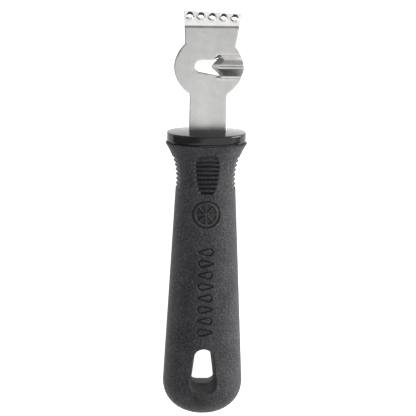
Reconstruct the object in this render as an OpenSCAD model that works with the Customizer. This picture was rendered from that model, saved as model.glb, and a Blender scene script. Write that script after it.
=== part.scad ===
// Citrus zester with a channel knife: a stamped blade held in a soft-grip handle.
// Lengths in millimetres. The tool lies on its back: X goes across it, Y towards the zesting tip and Z out
// of its face.

/* [Blade] */
// Thickness of the sheet
blade_t = 1.2; // [0.8:0.1:1.6]
// Width of the stem between the collar and the disc
stem_w = 14.3; // [11:0.1:18]
// How far the blade sits to the right of the handle's middle
blade_offset = 0.4; // [0:0.1:1]
// Height of the disc's centre above the collar's rim
disc_y = 25.7; // [22:0.1:32]
// Radius of the disc that carries the channel knife
disc_r = 13.3; // [12.5:0.1:15]
// How much lower the disc's upper arc is struck than its lower arc
disc_drop = 1.5; // [0:0.1:2]
// Distance from the disc's centre to the bend under the zesting strip
head_l = 14.2; // [14:0.1:20]
// Width of the head at the disc's centre line
head_root_w = 17.7; // [15:0.1:20]
// Width of the head at the bend
head_tip_w = 20.8; // [19.5:0.1:24]
// Turn of the head to the right, in degrees
head_turn = 3.5; // [0:0.5:4]

/* [Zesting strip] */
// Length of the strip from the bend to its free edge
strip_l = 6; // [5.5:0.1:8]
// Angle by which the strip is bent back, in degrees
strip_lean = 42; // [20:1:60]
// Radius on the inside of the bend
bend_r = 0.4; // [0.2:0.1:0.8]
// Number of zesting holes
hole_count = 5; // [3:1:5]
// Distance between the centres of neighbouring holes
hole_pitch = 4.26; // [3.9:0.01:4.4]
// Diameter of a zesting hole
hole_d = 2.4; // [2:0.1:2.6]
// Outer diameter of the raised ring round a hole
ring_d = 3.6; // [3.2:0.1:3.8]
// Height of the raised ring above the strip
ring_h = 0.8; // [0.4:0.1:1]
// Thickness of the ring's wall at its top
ring_wall = 0.25; // [0.15:0.05:0.4]
// Distance from the rings to the strip's free edge
ring_edge = 0.45; // [0.3:0.05:0.8]

/* [Channel knife] */
// Height of the V's crest above the face of the blade
v_h = 3.6; // [2:0.1:4.5]
// Width of the V above its crest line
v_hi = 3.3; // [3:0.1:4]
// Width of the V below its crest line
v_lo = 5; // [4:0.1:5.5]
// Radius on the outside of the crest
v_r = 1.4; // [1.3:0.1:2]
// How far the crest lies above the disc's centre
v_rise = 0; // [-0.5:0.1:1]
// Distance from the disc's centre to the V's shoulders
v_shoulder = 4.6; // [4:0.1:6]
// How far the nose of the V reaches over the slot
v_nose = 3.7; // [1:0.1:3.9]
// Radius of the slot's round end
slot_r = 2.1; // [1.9:0.1:2.4]
// Distance from the disc's centre to the slot's round end
slot_l = 5.1; // [4.5:0.1:6.5]
// How far the slot's round end lies above the disc's centre
slot_rise = -0.5; // [-1:0.1:1]

/* [Collar] */
// Width of the collar
collar_w = 30.3; // [28:0.1:31]
// Depth of the collar
collar_d = 20.2; // [19:0.1:20.3]
// Height of the collar's side
collar_h = 4.1; // [3:0.1:6]
// Height of the crown on the collar's top face
crown_h = 0.7; // [0.3:0.1:1.2]
// Gap between the blade and the plastic round it
blade_fit = 0.05; // [0.02:0.01:0.1]

/* [Grip] */
// Length of the grip from its lip to the end of the handle
grip_l = 107.8; // [90:0.1:130]
// Width over the lip
lip_w = 31.6; // [31.2:0.1:36]
// Depth over the lip
lip_d = 20.9; // [20.6:0.1:25.1]
// Distance from the lip to where the flare under it ends
flare_l = 16; // [12:0.5:20]
// Distance from the lip to the waist
waist_y = 17.3; // [14:0.1:20]
// Width at the waist
waist_w = 23; // [20:0.1:26]
// Depth at the waist
waist_d = 17; // [15:0.1:20]
// Greatest width, near the end
belly_w = 30.8; // [28:0.1:34]
// Greatest depth, near the end
belly_d = 20; // [18:0.1:22]
// Length of the rounded end
end_l = 13.4; // [11:0.1:18]
// Thickness of the soft skin over the core
skin = 2.4; // [2:0.1:3]
// Gap between the skin and the core
skin_fit = 0.04; // [0.02:0.01:0.1]

/* [Finger ribs] */
// Number of grooves in each rib pad
rib_count = 7; // [5:1:8]
// Distance between grooves
rib_pitch = 1.75; // [1.5:0.05:2]
// Depth of a groove
rib_depth = 0.6; // [0.3:0.1:0.9]
// Distance from the lip to the middle of the rib pads
rib_y = 11.4; // [10:0.1:13]

/* [Tang] */
// Width of the tang inside the core
tang_w = 11; // [8:0.5:12]
// Length of the tang below the lip
tang_l = 62; // [30:1:68]
// Diameter of the holes that lock the tang in the core
key_d = 5; // [4:0.5:6]
// Distance from the lip to the first lock hole
key_first = 12; // [8:1:14]
// Distance between the lock holes
key_gap = 12; // [8:1:14]

/* [Hang hole] */
// Distance from the end of the handle to the hole's lower edge
hole_end = 11.3; // [9:0.1:14]
// Length of the hole
eye_l = 15.8; // [12:0.1:20]
// Width of the hole at its top
eye_top_w = 6; // [5.5:0.1:8]
// Width of the hole at its bottom
eye_low_w = 8.6; // [8:0.1:12]
// Radius of the hole's lower corners
eye_corner_r = 2.6; // [1.5:0.1:3.5]
// How much wider each side of the hole is at the faces than at the middle
eye_flare = 0.8; // [0:0.1:1]
// Thickness of the skin that lines the hole
eye_lining = 1.6; // [1.2:0.1:2.4]

/* [Hidden] */
$fn = 48;

steel = [0.76, 0.76, 0.74];
gloss_black = [0.08, 0.08, 0.09];
hard_grey = [0.2, 0.2, 0.21];
soft_black = [0.15, 0.15, 0.16];

sides = 40;
oval_power = 2.2;
end_power = 2.2;
end_depth_power = 2.7;
flare_power = 2.2;
eps = 0.01;
far = 60;

// Places along the tool, measured from the collar's rim
lip_y = -collar_h;
end_y = lip_y - grip_l;
bend_y = disc_y + head_l;
flat_tip = bend_y + strip_l;

// The head widens at one rate from the disc to the strip's free edge, and leans by its turn
head_rate = (head_tip_w - head_root_w) / 2 / head_l;
function side_slope(side) = tan(head_turn + side * atan(head_rate));
// Where a side of the head is, at a distance beyond the disc's centre: side is -1 on the left, 1 on the right
function side_x(side, run) = blade_offset + side * head_root_w / 2 * cos(head_turn)
    + side_slope(side) * (run + side * head_root_w / 2 * sin(head_turn));
hole_row = strip_l - ring_d / 2 - ring_edge;

// The head's turn lifts the strip's left corner
strip_corner = (flat_tip - disc_y) * (cos(head_turn) - 1)
    + (head_tip_w / 2 + head_rate * strip_l) * sin(head_turn);
tip_y = bend_y + (strip_l + strip_corner) * cos(strip_lean) + (blade_t + bend_r) * sin(strip_lean);
mid_y = (tip_y + end_y) / 2;
blade_z = -blade_t / 2;

// Lying on its back, the tool rests on the lip, and its middle is over the origin
module lay() translate([0, -mid_y, lip_d / 2]) children();

// ---- Lofts -------------------------------------------------------------------------------

function signed_power(v, p) = sign(v) * pow(abs(v), p);
function oval(w, d, power = oval_power) =
    [for (i = [0 : sides - 1]) let (a = 360 * i / sides)
        [w / 2 * signed_power(cos(a), 2 / power), d / 2 * signed_power(sin(a), 2 / power)]];

// Skins a list of [y, outline] rings, the first one highest
module loft(rings) {
    n = len(rings[0][1]);
    last = len(rings) - 1;
    points = [for (ring = rings, p = ring[1]) [p.x, ring[0], p.y]];
    walls = [for (r = [0 : last - 1], i = [0 : n - 1]) let (a = r * n + i, b = r * n + (i + 1) % n)
        each [[a, a + n, b], [b, a + n, b + n]]];
    top = [for (i = [0 : n - 1]) i];
    bottom = [for (i = [n - 1 : -1 : 0]) last * n + i];
    polyhedron(points, concat([top], walls, [bottom]));
}

// ---- Grip outline ------------------------------------------------------------------------

belly_y = grip_l - end_l;
function taper(s, waist, belly) = waist + (belly - waist) * (s - waist_y) / (belly_y - waist_y);
function flare(s, waist, belly, lip) =
    (lip - taper(0, waist, belly)) * pow(max(0, 1 - s / flare_l), flare_power);
function rounding(s, reach, power) = pow(1 - pow(max(0, (s - belly_y) / reach), power), 1 / power);
function size_at(s, waist, belly, lip, reach, power, inset) =
    (taper(min(s, belly_y), waist, belly) + flare(s, waist, belly, lip) - 2 * inset)
        * rounding(s, reach, power);
function grip_outline(s, inset = 0) = oval(
    size_at(s, waist_w, belly_w, lip_w, end_l - inset, end_power, inset),
    size_at(s, waist_d, belly_d, lip_d, end_l - inset, end_depth_power, inset));

// Distances below the lip at which the grip is sectioned: along the shank, then round the end
shank_step = 5;
end_rings = 9;
function shank(from) = [for (s = [from : shank_step : belly_y - shank_step / 2]) s];
function end_turns(reach) =
    [for (i = [0 : end_rings]) belly_y + (reach - eps) * sin(90 * i / end_rings)];

// ---- Rib pads ----------------------------------------------------------------------------

rib_span = rib_pitch * rib_count;
rib_top = rib_y - rib_span / 2;
rib_steps = 4;
pad_half_angle = 28;
pad_fade = 9;
function groove(s) = let (t = (s - rib_top) / rib_pitch) t < 0 || t > rib_count ? 0 : (1 - cos(360 * t)) / 2;
// 1 in the middle of a pad, at the front, the back and both sides, and 0 between the pads
function pad(a) = let (off = abs(((a + 45) % 90) - 45)) max(0, min(1, (pad_half_angle - off) / pad_fade));
function ribbed(s) = [for (i = [0 : sides - 1], outline = [grip_outline(s)])
    let (p = outline[i], a = 360 * i / sides) p * (1 - rib_depth * groove(s) * pad(a) / norm(p))];

lip_round = 0.5;
module grip_blank() loft(concat(
    [for (a = [0 : 30 : 90]) let (s = lip_round * (1 - cos(a)))
        [lip_y - s, grip_outline(s, lip_round * (1 - sin(a)))]],
    [for (s = [3 * lip_round : 2 * lip_round : rib_top - lip_round]) [lip_y - s, grip_outline(s)]],
    [for (i = [0 : rib_count * rib_steps]) let (s = rib_top + i * rib_pitch / rib_steps)
        [lip_y - s, ribbed(s)]],
    [for (s = concat(shank(rib_top + rib_span + 2), end_turns(end_l))) [lip_y - s, grip_outline(s)]]));

// The hard core follows the grip's outline at the skin's thickness, and is open round the hang hole.
// With a gap it is the space in the skin that the core fits, a gap larger all round.
module core_blank(gap) difference() {
    inset = skin - gap;
    loft([for (s = concat([-gap], shank(shank_step), end_turns(end_l - inset)))
        [lip_y - s, grip_outline(max(0, s), inset)]]);
    hang_hole(eye_lining - gap, 0);
}

module keyhole(grow, z0, z1) {
    top_y = end_y + hole_end + eye_l - eye_top_w / 2;
    hull() {
        translate([0, top_y, z0]) cylinder(r = eye_top_w / 2 + grow, h = z1 - z0);
        for (side = [-1, 1])
            translate([side * (eye_low_w / 2 - eye_corner_r), end_y + hole_end + eye_corner_r, z0])
                cylinder(r = eye_corner_r + grow, h = z1 - z0);
    }
}

// A keyhole through the handle, flared towards both faces
module hang_hole(grow, spread) {
    keyhole(grow, -far / 2, far / 2);
    if (spread > 0)
        for (side = [0, 1]) mirror([0, 0, side]) keyhole(grow + spread, belly_d / 4, far / 2);
}

// ---- Blade -------------------------------------------------------------------------------

module on_head() translate([blade_offset, disc_y]) rotate(-head_turn) children();

// The head from above, with the strip beyond it shortened by its lean
module head_outline() polygon([for (side = [-1, 1], end = side < 0 ? [0, 1, 2] : [2, 1, 0])
    let (beyond = end == 2 ? 2 * strip_l : 0)
        [side_x(side, end == 0 ? 0 : head_l + beyond),
            end == 0 ? disc_y : bend_y + beyond * cos(strip_lean)]]);

module disc_outline() translate([blade_offset, disc_y]) intersection() {
    circle(disc_r, $fn = 96);
    translate([0, -disc_drop]) union() {
        circle(disc_r, $fn = 96);
        translate([-far / 2, -far]) square([far, far]);
    }
}

module tang_outline(grow = 0) translate([blade_offset, 0]) {
    translate([-stem_w / 2 - grow, lip_y - stem_w / 2])
        square([stem_w + 2 * grow, disc_y + stem_w / 2 - lip_y]);
    translate([-tang_w / 2 - grow, lip_y - tang_l - grow]) square([tang_w + 2 * grow, tang_l]);
}

module key_holes(d) for (below = [key_first, key_first + key_gap])
    translate([blade_offset, lip_y - below]) circle(d = d);

// Slot with a round end, widening almost to the width of the V at its shoulders
slot_lip = 0.9;
module slot_outline() translate([blade_offset, disc_y]) {
    translate([slot_r - slot_l, slot_rise]) circle(slot_r);
    polygon([[slot_r - slot_l, slot_rise + slot_r], [slot_r - slot_l, slot_rise - slot_r],
        [v_shoulder, v_rise - v_lo + slot_lip], [v_shoulder, v_rise + v_hi - slot_lip]]);
}

// Window that the V closes: from its shoulders to the disc's edge
module v_window(trim) translate([blade_offset + v_shoulder, disc_y + v_rise - v_lo + trim])
    square([disc_r, v_lo + v_hi - 2 * trim]);

// Direction, seen from the crest's centre, in which a line from a base point touches the crest
crest_centre = [0, v_h - v_r];
function touch_angle(base, r) = let (run = [base, 0] - crest_centre)
    (atan2(run.y, run.x) + acos(r / norm(run)) * sign(base) + 360) % 360;

// Cross-section of the V, solid down to its base: x is across it and y is its height
crest_steps = 8;
function roof(lo, hi, r) = let (right = touch_angle(hi, r), left = touch_angle(-lo, r)) concat(
    [[-lo, 0], [hi, 0]],
    [for (i = [0 : crest_steps]) let (a = right + (left - right) * i / crest_steps)
        crest_centre + r * [cos(a), sin(a)]]);

// The inside of the V is its outside moved in by the wall, thinned a little as the V is drawn
v_thinning = 0.9;
v_wall = v_thinning * blade_t;
lo_in = v_wall / cos(180 - touch_angle(-v_lo, v_r));
hi_in = v_wall / cos(touch_angle(v_hi, v_r));

module channel_knife() intersection() {
    translate([blade_offset + v_shoulder - v_nose, disc_y + v_rise, 0]) rotate([90, 0, 90])
        linear_extrude(disc_r) difference() {
            union() {
                polygon(roof(v_lo, v_hi, v_r));
                translate([-v_lo, -blade_t]) square([v_lo + v_hi, blade_t + eps]);
            }
            polygon(roof(v_lo - lo_in, v_hi - hi_in, v_r - v_wall));
            translate([lo_in - v_lo, -2 * blade_t]) square([v_lo + v_hi - lo_in - hi_in, 2 * blade_t + eps]);
        }
    // The cut leans from the nose at the crest back to the shoulders
    translate([blade_offset + v_shoulder, disc_y - far / 2, 0]) rotate([0, -atan2(v_nose, v_h), 0])
        translate([0, 0, -far / 2]) cube([far, far, far]);
    translate([0, 0, -2 * blade_t]) linear_extrude(far) disc_outline();
}

// Carries what lies on the flat sheet round the bend
module on_strip() translate([0, bend_y, -bend_r]) rotate([-strip_lean, 0, 0])
    translate([0, -bend_y, bend_r]) on_head() children();

module each_hole() for (i = [0 : hole_count - 1])
    translate([(i - (hole_count - 1) / 2) * hole_pitch, head_l + hole_row]) children();

// Each ring is drawn up out of the sheet, so it starts half way through it
module zest_ring() translate([0, 0, blade_t / 2])
    cylinder(d1 = ring_d, d2 = hole_d + 2 * ring_wall, h = blade_t / 2 + ring_h);

// Side view of the sheet, flat up to the bend: x is along the tool and y is its height
bend_steps = 8;
function bend_arc(r, from, to) = [for (i = [0 : bend_steps]) let (a = from + (to - from) * i / bend_steps)
    [bend_y + r * sin(a), r * cos(a) - bend_r]];
function strip_end(r) = [bend_y + r * sin(strip_lean) + 2 * strip_l * cos(strip_lean),
    r * cos(strip_lean) - bend_r - 2 * strip_l * sin(strip_lean)];
function side_view() = concat(
    [[lip_y - 2 * tang_l, blade_t]], bend_arc(bend_r + blade_t, 0, strip_lean), [strip_end(bend_r + blade_t)],
    [strip_end(bend_r)], bend_arc(bend_r, strip_lean, 0), [[lip_y - 2 * tang_l, 0]]);

module sheet_outline() difference() {
    union() {
        tang_outline();
        disc_outline();
        head_outline();
    }
    slot_outline();
    v_window(0);
    key_holes(key_d);
}

module bent_sheet() difference() {
    intersection() {
        translate([-far / 2, 0, 0]) rotate([90, 0, 90]) linear_extrude(far) polygon(side_view());
        translate([0, 0, -far / 2]) linear_extrude(far) sheet_outline();
    }
    on_strip() translate([-far / 2, head_l + strip_l, -far / 2]) cube(far);
}

module blade() color(steel) lay() translate([0, 0, blade_z]) {
    difference() {
        union() {
            bent_sheet();
            on_strip() each_hole() zest_ring();
        }
        on_strip() translate([0, 0, -eps]) each_hole() cylinder(d = hole_d, h = blade_t + ring_h + 2 * eps);
    }
    translate([0, 0, blade_t]) channel_knife();
}

// ---- Handle ------------------------------------------------------------------------------

neck_w = 22;
neck_d = 12;
neck_h = 2;
rim_round = 0.5;
crown_rings = 6;
foot_inset = 0.6;
foot_h = 0.5;
function collar_outline(inset, share = 1) =
    oval((collar_w - 2 * inset) * share, (collar_d - 2 * inset) * share);

module blade_slot() translate([0, 0, blade_z - blade_fit]) linear_extrude(blade_t + 2 * blade_fit)
    difference() {
        tang_outline(blade_fit);
        key_holes(key_d - 2 * blade_fit);
    }

module neck(gap) translate([0, lip_y + neck_h + gap, 0]) rotate([90, 0, 0])
    linear_extrude(neck_h + gap + 1) polygon(oval(neck_w + 2 * gap, neck_d + 2 * gap));

module collar() color(gloss_black) lay() difference() {
    loft(concat(
        [for (i = [1 : crown_rings]) let (t = i / crown_rings)
            [crown_h * (1 - t * t), collar_outline(rim_round, t)]],
        [for (a = [30 : 30 : 90]) [-rim_round * (1 - cos(a)), collar_outline(rim_round * (1 - sin(a)))]],
        [[lip_y + foot_h + foot_inset, collar_outline(0)],
         [lip_y + foot_h, collar_outline(foot_inset)],
         [lip_y, collar_outline(foot_inset)]]));
    neck(blade_fit);
    blade_slot();
}

module core() color(hard_grey) lay() difference() {
    union() {
        core_blank(0);
        neck(0);
    }
    blade_slot();
}

module grip() color(soft_black) lay() difference() {
    grip_blank();
    core_blank(skin_fit);
    hang_hole(0, eye_flare);
}

blade();
collar();
core();
grip();
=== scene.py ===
"""Dresses the citrus zester: a stamped blade, a gloss collar, a hard core and a soft grip with a hang hole.

Every sub-assembly is a class that holds its sizes in millimetres, measured from the collar's rim along the
tool and from the handle's middle plane, and that places its meshes in the model's frame in metres.
"""

import logging
import math
from dataclasses import dataclass, field
from enum import Enum

import bpy
import numpy as np
from mathutils import Matrix, Vector
from mathutils.geometry import delaunay_2d_cdt


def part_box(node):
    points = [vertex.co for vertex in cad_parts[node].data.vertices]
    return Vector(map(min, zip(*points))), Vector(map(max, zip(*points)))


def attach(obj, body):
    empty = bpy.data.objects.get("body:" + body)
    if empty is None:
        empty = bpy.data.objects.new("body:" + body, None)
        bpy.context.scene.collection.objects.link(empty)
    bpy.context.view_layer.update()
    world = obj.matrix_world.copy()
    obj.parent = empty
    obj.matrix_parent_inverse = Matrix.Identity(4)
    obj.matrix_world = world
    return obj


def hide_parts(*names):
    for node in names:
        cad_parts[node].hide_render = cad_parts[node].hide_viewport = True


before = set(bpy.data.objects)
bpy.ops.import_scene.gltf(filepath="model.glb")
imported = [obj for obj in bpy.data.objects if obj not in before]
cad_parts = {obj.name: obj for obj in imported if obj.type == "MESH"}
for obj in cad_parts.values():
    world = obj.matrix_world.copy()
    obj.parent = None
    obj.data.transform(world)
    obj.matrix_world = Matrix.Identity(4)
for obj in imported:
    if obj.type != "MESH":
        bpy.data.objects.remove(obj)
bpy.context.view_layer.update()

MM = 0.001
ROOT = "root"
OVAL_POWER = 2.2

log = logging.getLogger("zester")


class Slot(Enum):
    """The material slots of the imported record."""

    STEEL = "blade_steel"
    COLLAR = "collar_gloss"
    CORE = "core_plastic"
    GRIP = "grip_soft"


class Side(Enum):
    """Left and right of the tool, seen from its face."""

    LEFT = -1
    RIGHT = 1


# ---- Places and small shape functions ----------------------------------------------------------


@dataclass(frozen=True)
class Layout:
    """Where the tool's datums are in the model's frame, in millimetres."""

    rim_y: float
    lip_y: float
    end_y: float
    mid_z: float

    @classmethod
    def from_frame(cls, crown_h: float) -> "Layout":
        """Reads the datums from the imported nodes.

        Args:
            crown_h: Height of the collar's crown above its rim, in millimetres.

        Returns:
            The layout.
        """
        _, collar_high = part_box("collar")
        grip_low, grip_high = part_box("grip")
        rim_y = collar_high.y / MM - crown_h
        middle = (grip_low.z + grip_high.z) / 2 / MM
        return cls(rim_y, grip_high.y / MM - rim_y, grip_low.y / MM - rim_y, middle)

    def place(self, points: np.ndarray) -> np.ndarray:
        """Moves points from the tool's own datums to the model's frame, in metres."""
        return (points + np.array([0.0, self.rim_y, self.mid_z])) * MM


def smoothstep(low: float, high: float, value: np.ndarray) -> np.ndarray:
    """Rises smoothly from 0 at low to 1 at high."""
    t = np.clip((value - low) / (high - low), 0.0, 1.0)
    return t * t * (3 - 2 * t)


def soft_min(a: np.ndarray, b: np.ndarray, blend: float) -> np.ndarray:
    """Takes the smaller of two heights, rounded over a blend height where they meet."""
    h = np.clip(0.5 + 0.5 * (b - a) / blend, 0.0, 1.0)
    return b + (a - b) * h - blend * h * (1 - h)


def soft_max(a: np.ndarray, b: np.ndarray, blend: float) -> np.ndarray:
    """Takes the larger of two heights, rounded over a blend height where they meet."""
    return -soft_min(-a, -b, blend)


def arc(centre: tuple[float, float], radius: float, start: float, end: float, step: float) -> list:
    """Lists points along an arc.

    Args:
        centre: Centre of the arc.
        radius: Its radius.
        start: First angle in degrees.
        end: Last angle in degrees.
        step: Longest distance between points.

    Returns:
        The points, both ends included.
    """
    count = max(2, math.ceil(abs(math.radians(end - start)) * radius / step))
    angles = np.radians(np.linspace(start, end, count + 1))
    return [(centre[0] + radius * math.cos(a), centre[1] + radius * math.sin(a)) for a in angles]


def divided(loop: list, step: float, coarse_below: float = -math.inf, coarse: float = math.inf) -> np.ndarray:
    """Divides a closed outline's long edges.

    Args:
        loop: Corners of the outline.
        step: Longest edge in the part that shows.
        coarse_below: Y under which edges may be longer, if any.
        coarse: Longest edge there.

    Returns:
        The outline's points.
    """
    points = []
    for a, b in zip(loop, loop[1:] + loop[:1]):
        longest = coarse if max(a[1], b[1]) <= coarse_below else step
        count = max(1, math.ceil(math.dist(a, b) / longest))
        points += [(a[0] + (b[0] - a[0]) * i / count, a[1] + (b[1] - a[1]) * i / count) for i in range(count)]
    return np.array(points)


def outward(loop: np.ndarray) -> np.ndarray:
    """Gives the mitred normal at each point of a loop with its solid side on the left.

    Args:
        loop: Corners of the loop, in order.

    Returns:
        One normal to a corner, longer at sharp ones.
    """
    before = loop - np.roll(loop, 1, axis=0)
    after = np.roll(loop, -1, axis=0) - loop
    normals = []
    for edge in (before, after):
        length = np.linalg.norm(edge, axis=1, keepdims=True)
        normals.append(np.column_stack([edge[:, 1], -edge[:, 0]]) / length)
    total = normals[0] + normals[1]
    total /= np.linalg.norm(total, axis=1, keepdims=True)
    share = np.clip((total * normals[0]).sum(axis=1, keepdims=True), 0.5, 1.0)
    return total / share


def inside(points: np.ndarray, loops: list) -> np.ndarray:
    """Tells which points are inside an odd number of loops.

    Args:
        points: Places to test.
        loops: Closed outlines.

    Returns:
        True for each place that is inside.
    """
    result = np.zeros(len(points), bool)
    x, y = points[:, 0:1], points[:, 1:2]
    for loop in loops:
        a, b = loop, np.roll(loop, -1, axis=0)
        crosses = (a[:, 1] > y) != (b[:, 1] > y)
        rise = np.where(b[:, 1] == a[:, 1], 1.0, b[:, 1] - a[:, 1])
        at = a[:, 0] + (y - a[:, 1]) / rise * (b[:, 0] - a[:, 0])
        result ^= (crosses & (x < at)).sum(axis=1) % 2 == 1
    return result


def double_area(triangles: np.ndarray) -> np.ndarray:
    """Gives twice the area of flat triangles, above zero where they turn anticlockwise."""
    a, b = triangles[:, 1] - triangles[:, 0], triangles[:, 2] - triangles[:, 0]
    return a[:, 0] * b[:, 1] - a[:, 1] * b[:, 0]


def clearance(points: np.ndarray, others: np.ndarray) -> np.ndarray:
    """Gives each point's distance to the nearest of the others.

    Args:
        points: Places to measure from.
        others: Places to measure to.

    Returns:
        One distance to a place.
    """
    result = np.full(len(points), np.inf)
    for part in np.array_split(others, max(1, len(others) // 200)):
        gaps = np.linalg.norm(points[:, None, :] - part[None, :, :], axis=2)
        result = np.minimum(result, gaps.min(axis=1))
    return result


def hex_grid(x0: float, y0: float, x1: float, y1: float, step: float, row: float = 0.0) -> np.ndarray:
    """Lists staggered grid points over a rectangle, with rows closer together if a row height is given.

    Args:
        x0: Left edge.
        y0: Lower edge.
        x1: Right edge.
        y1: Upper edge.
        step: Distance between the points of a row.
        row: Distance between rows, if not the even one.

    Returns:
        The grid points.
    """
    row = row or step * math.sqrt(3) / 2
    points = []
    for j, y in enumerate(np.arange(y0, y1, row)):
        shift = step / 2 if j % 2 else 0.0
        points += [(x, y) for x in np.arange(x0 + shift, x1, step)]
    return np.array(points)


def make_object(name: str, points: np.ndarray, faces: list, sharp: float = 45.0) -> bpy.types.Object:
    """Makes a smooth-shaded mesh object.

    Args:
        name: Name of the piece.
        points: Vertices in the model's frame, in metres.
        faces: Vertex numbers of each face.
        sharp: Edges that turn more than this many degrees stay crisp.

    Returns:
        The new object.
    """
    mesh = bpy.data.meshes.new(name)
    mesh.from_pydata(points.tolist(), [], faces)
    mesh.validate()
    mesh.update()
    mesh.shade_smooth()
    mesh.set_sharp_from_angle(angle=math.radians(sharp))
    piece = bpy.data.objects.new(name, mesh)
    bpy.context.scene.collection.objects.link(piece)
    return piece


def point_values(piece: bpy.types.Object, name: str, values: np.ndarray) -> None:
    """Stores one value at each vertex of a piece, for its finish to read by name."""
    layer = piece.data.attributes.new(name, "FLOAT", "POINT")
    layer.data.foreach_set("value", values.reshape(-1).astype(np.float32))


def cut_away(piece: bpy.types.Object, cutter: bpy.types.Object, sharp: float = 45.0) -> None:
    """Cuts one solid out of another and removes the cutter.

    Args:
        piece: Solid that stays.
        cutter: Solid that is taken away.
        sharp: Edges that turn more than this many degrees stay crisp.
    """
    cut = piece.modifiers.new("cut", "BOOLEAN")
    cut.operation = "DIFFERENCE"
    cut.solver = "EXACT"
    cut.object = cutter
    graph = bpy.context.evaluated_depsgraph_get()
    mesh = bpy.data.meshes.new_from_object(piece.evaluated_get(graph))
    piece.modifiers.clear()
    old, piece.data = piece.data, mesh
    bpy.data.meshes.remove(old)
    bpy.data.objects.remove(cutter)
    mesh.shade_smooth()
    mesh.set_sharp_from_angle(angle=math.radians(sharp))
    mesh.name = piece.name


def loft_faces(rings: int, count: int, first: int = 0) -> list:
    """Lists the faces of a closed loft whose first ring is the highest.

    Args:
        rings: Number of rings.
        count: Points in each ring.
        first: Number of the first vertex.

    Returns:
        The wall's quads and the two end faces.
    """
    index = first + np.arange(rings * count).reshape(rings, count)
    faces = [list(map(int, index[0])), list(map(int, index[-1][::-1]))]
    for r in range(rings - 1):
        a, b = index[r], index[r + 1]
        a2, b2 = np.roll(a, -1), np.roll(b, -1)
        faces += np.column_stack([a, b, b2, a2]).tolist()
    return faces


# ---- Finishes ------------------------------------------------------------------------------------


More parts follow.
